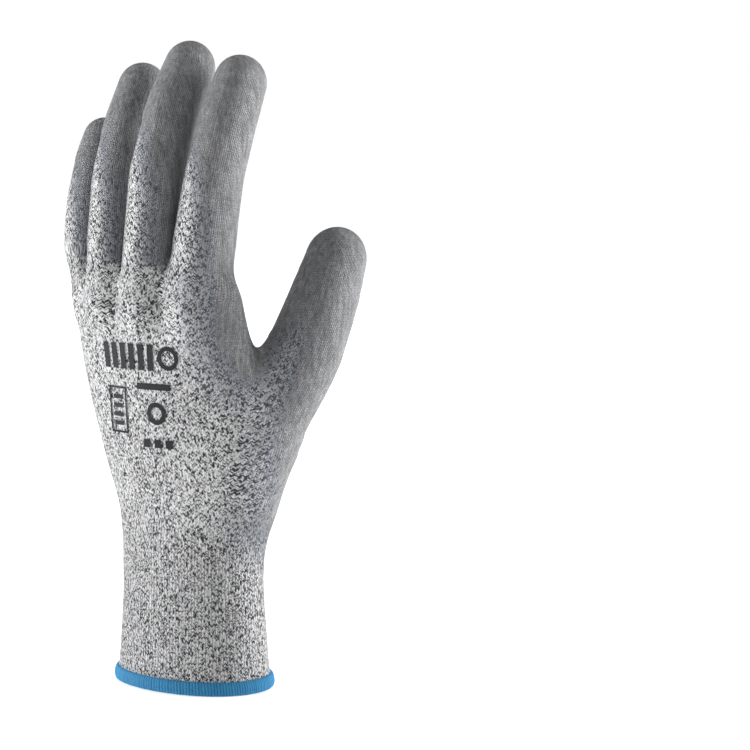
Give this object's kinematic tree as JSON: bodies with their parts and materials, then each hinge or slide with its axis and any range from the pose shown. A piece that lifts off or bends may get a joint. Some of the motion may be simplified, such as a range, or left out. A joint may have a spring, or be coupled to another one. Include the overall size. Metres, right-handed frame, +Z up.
{
  "type": "cut resistant glove",
  "caption": "Left-hand knitted cut-resistant glove with a smooth coated palm and fingertips, a ribbed elastic cuff and an overlocked hem; wrist, fingers and thumb bend.",
  "frame": {"origin": "centre of the wrist opening, in the plane of the hem's lower edge", "axes": "+Z up along the forearm and hand towards the fingertips, +X towards the thumb, +Y out of the palm"},
  "size_m": [0.1154, 0.0688, 0.2478],
  "materials": {
    "knit": "melange 13 gauge knit, light grey flecked with black",
    "coating": "smooth matte grey polyurethane dip",
    "hem": "blue overlock thread",
    "print": "black heat transfer print"
  },
  "bodies": {
    "cuff": {"knitted_cuff": "knit", "overlocked_hem": "hem", "wrist_bend_sleeve": "knit"},
    "palm": {"palm_and_back_liner": "knit", "palm_coating": "coating", "back_print": "print", "index_base_bend_sleeve": "knit", "middle_base_bend_sleeve": "knit", "ring_base_bend_sleeve": "knit", "little_base_bend_sleeve": "knit", "thumb_base_bend_sleeve": "knit"},
    "index_base": {"index_base_stall": "knit", "index_base_coating": "coating", "index_middle_bend_sleeve": "knit"},
    "index_middle": {"index_middle_stall": "knit", "index_middle_coating": "coating", "index_tip_bend_sleeve": "knit"},
    "index_tip": {"index_tip_stall": "knit", "index_tip_coating": "coating"},
    "middle_base": {"middle_base_stall": "knit", "middle_base_coating": "coating", "middle_middle_bend_sleeve": "knit"},
    "middle_middle": {"middle_middle_stall": "knit", "middle_middle_coating": "coating", "middle_tip_bend_sleeve": "knit"},
    "middle_tip": {"middle_tip_stall": "knit", "middle_tip_coating": "coating"},
    "ring_base": {"ring_base_stall": "knit", "ring_base_coating": "coating", "ring_middle_bend_sleeve": "knit"},
    "ring_middle": {"ring_middle_stall": "knit", "ring_middle_coating": "coating", "ring_tip_bend_sleeve": "knit"},
    "ring_tip": {"ring_tip_stall": "knit", "ring_tip_coating": "coating"},
    "little_base": {"little_base_stall": "knit", "little_base_coating": "coating", "little_middle_bend_sleeve": "knit"},
    "little_middle": {"little_middle_stall": "knit", "little_middle_coating": "coating", "little_tip_bend_sleeve": "knit"},
    "little_tip": {"little_tip_stall": "knit", "little_tip_coating": "coating"},
    "thumb_base": {"thumb_base_stall": "knit", "thumb_base_coating": "coating", "thumb_tip_bend_sleeve": "knit"},
    "thumb_tip": {"thumb_tip_stall": "knit", "thumb_tip_coating": "coating"}
  },
  "joints": [
    {"name": "wrist_flex", "type": "hinge", "parent": "cuff", "child": "palm", "pos_m": [0, 0, 0.061], "axis": [-1, 0, 0], "range_deg": [-45, 45], "deforming": ["wrist_bend_sleeve"]},
    {"name": "index_base_flex", "type": "hinge", "parent": "palm", "child": "index_base", "pos_m": [0.0186, -0.0136, 0.172], "axis": [-0.9976, 0, 0.0698], "range_deg": [-10, 60], "deforming": ["index_base_bend_sleeve"]},
    {"name": "index_middle_flex", "type": "hinge", "parent": "index_base", "child": "index_middle", "pos_m": [0.02029, -0.01019, 0.1962], "axis": [-0.9976, 0, 0.0698], "range_deg": [-6, 60], "deforming": ["index_middle_bend_sleeve"]},
    {"name": "index_tip_flex", "type": "hinge", "parent": "index_middle", "child": "index_tip", "pos_m": [0.02178, -0.00407, 0.21749], "axis": [-0.9976, 0, 0.0698], "range_deg": [-4, 36], "deforming": ["index_tip_bend_sleeve"]},
    {"name": "middle_base_flex", "type": "hinge", "parent": "palm", "child": "middle_base", "pos_m": [-0.0026, -0.02, 0.173], "axis": [-0.9997, 0, 0.0227], "range_deg": [-10, 60], "deforming": ["middle_base_bend_sleeve"]},
    {"name": "middle_middle_flex", "type": "hinge", "parent": "middle_base", "child": "middle_middle", "pos_m": [-0.00203, -0.01645, 0.19825], "axis": [-0.9997, 0, 0.0227], "range_deg": [-6, 60], "deforming": ["middle_middle_bend_sleeve"]},
    {"name": "middle_tip_flex", "type": "hinge", "parent": "middle_middle", "child": "middle_tip", "pos_m": [-0.0015, -0.008, 0.22145], "axis": [-0.9997, 0, 0.0227], "range_deg": [-4, 36], "deforming": ["middle_tip_bend_sleeve"]},
    {"name": "ring_base_flex", "type": "hinge", "parent": "palm", "child": "ring_base", "pos_m": [-0.024, -0.0172, 0.171], "axis": [-0.9996, 0, -0.0279], "range_deg": [-10, 60], "deforming": ["ring_base_bend_sleeve"]},
    {"name": "ring_middle_flex", "type": "hinge", "parent": "ring_base", "child": "ring_middle", "pos_m": [-0.02465, -0.01393, 0.19426], "axis": [-0.9996, 0, -0.0279], "range_deg": [-6, 60], "deforming": ["ring_middle_bend_sleeve"]},
    {"name": "ring_tip_flex", "type": "hinge", "parent": "ring_middle", "child": "ring_tip", "pos_m": [-0.02523, -0.00677, 0.21506], "axis": [-0.9996, 0, -0.0279], "range_deg": [-4, 36], "deforming": ["ring_tip_bend_sleeve"]},
    {"name": "little_base_flex", "type": "hinge", "parent": "palm", "child": "little_base", "pos_m": [-0.044, -0.0102, 0.168], "axis": [-0.9982, 0, -0.0593], "range_deg": [-10, 60], "deforming": ["little_base_bend_sleeve"]},
    {"name": "little_middle_flex", "type": "hinge", "parent": "little_base", "child": "little_middle", "pos_m": [-0.04505, -0.00738, 0.18575], "axis": [-0.9982, 0, -0.0593], "range_deg": [-6, 60], "deforming": ["little_middle_bend_sleeve"]},
    {"name": "little_tip_flex", "type": "hinge", "parent": "little_middle", "child": "little_tip", "pos_m": [-0.0459, -0.0025, 0.1999], "axis": [-0.9982, 0, -0.0593], "range_deg": [-4, 36], "deforming": ["little_tip_bend_sleeve"]},
    {"name": "thumb_base_spread", "type": "hinge", "parent": "palm", "child": "thumb_base", "pos_m": [0.0422, 0.016, 0.129], "axis": [0.4032, 0.8569, -0.3212], "range_deg": [-40, 12], "deforming": ["thumb_base_bend_sleeve"]},
    {"name": "thumb_tip_spread", "type": "hinge", "parent": "thumb_base", "child": "thumb_tip", "pos_m": [0.0466, 0.021, 0.14786], "axis": [0.4032, 0.8569, -0.3212], "range_deg": [-45, 8], "deforming": ["thumb_tip_bend_sleeve"]}
  ],
  "couplings": [
    {"joint": "index_tip_flex", "follows": "index_middle_flex", "ratio": 0.6},
    {"joint": "middle_tip_flex", "follows": "middle_middle_flex", "ratio": 0.6},
    {"joint": "ring_tip_flex", "follows": "ring_middle_flex", "ratio": 0.6},
    {"joint": "little_tip_flex", "follows": "little_middle_flex", "ratio": 0.6}
  ]
}
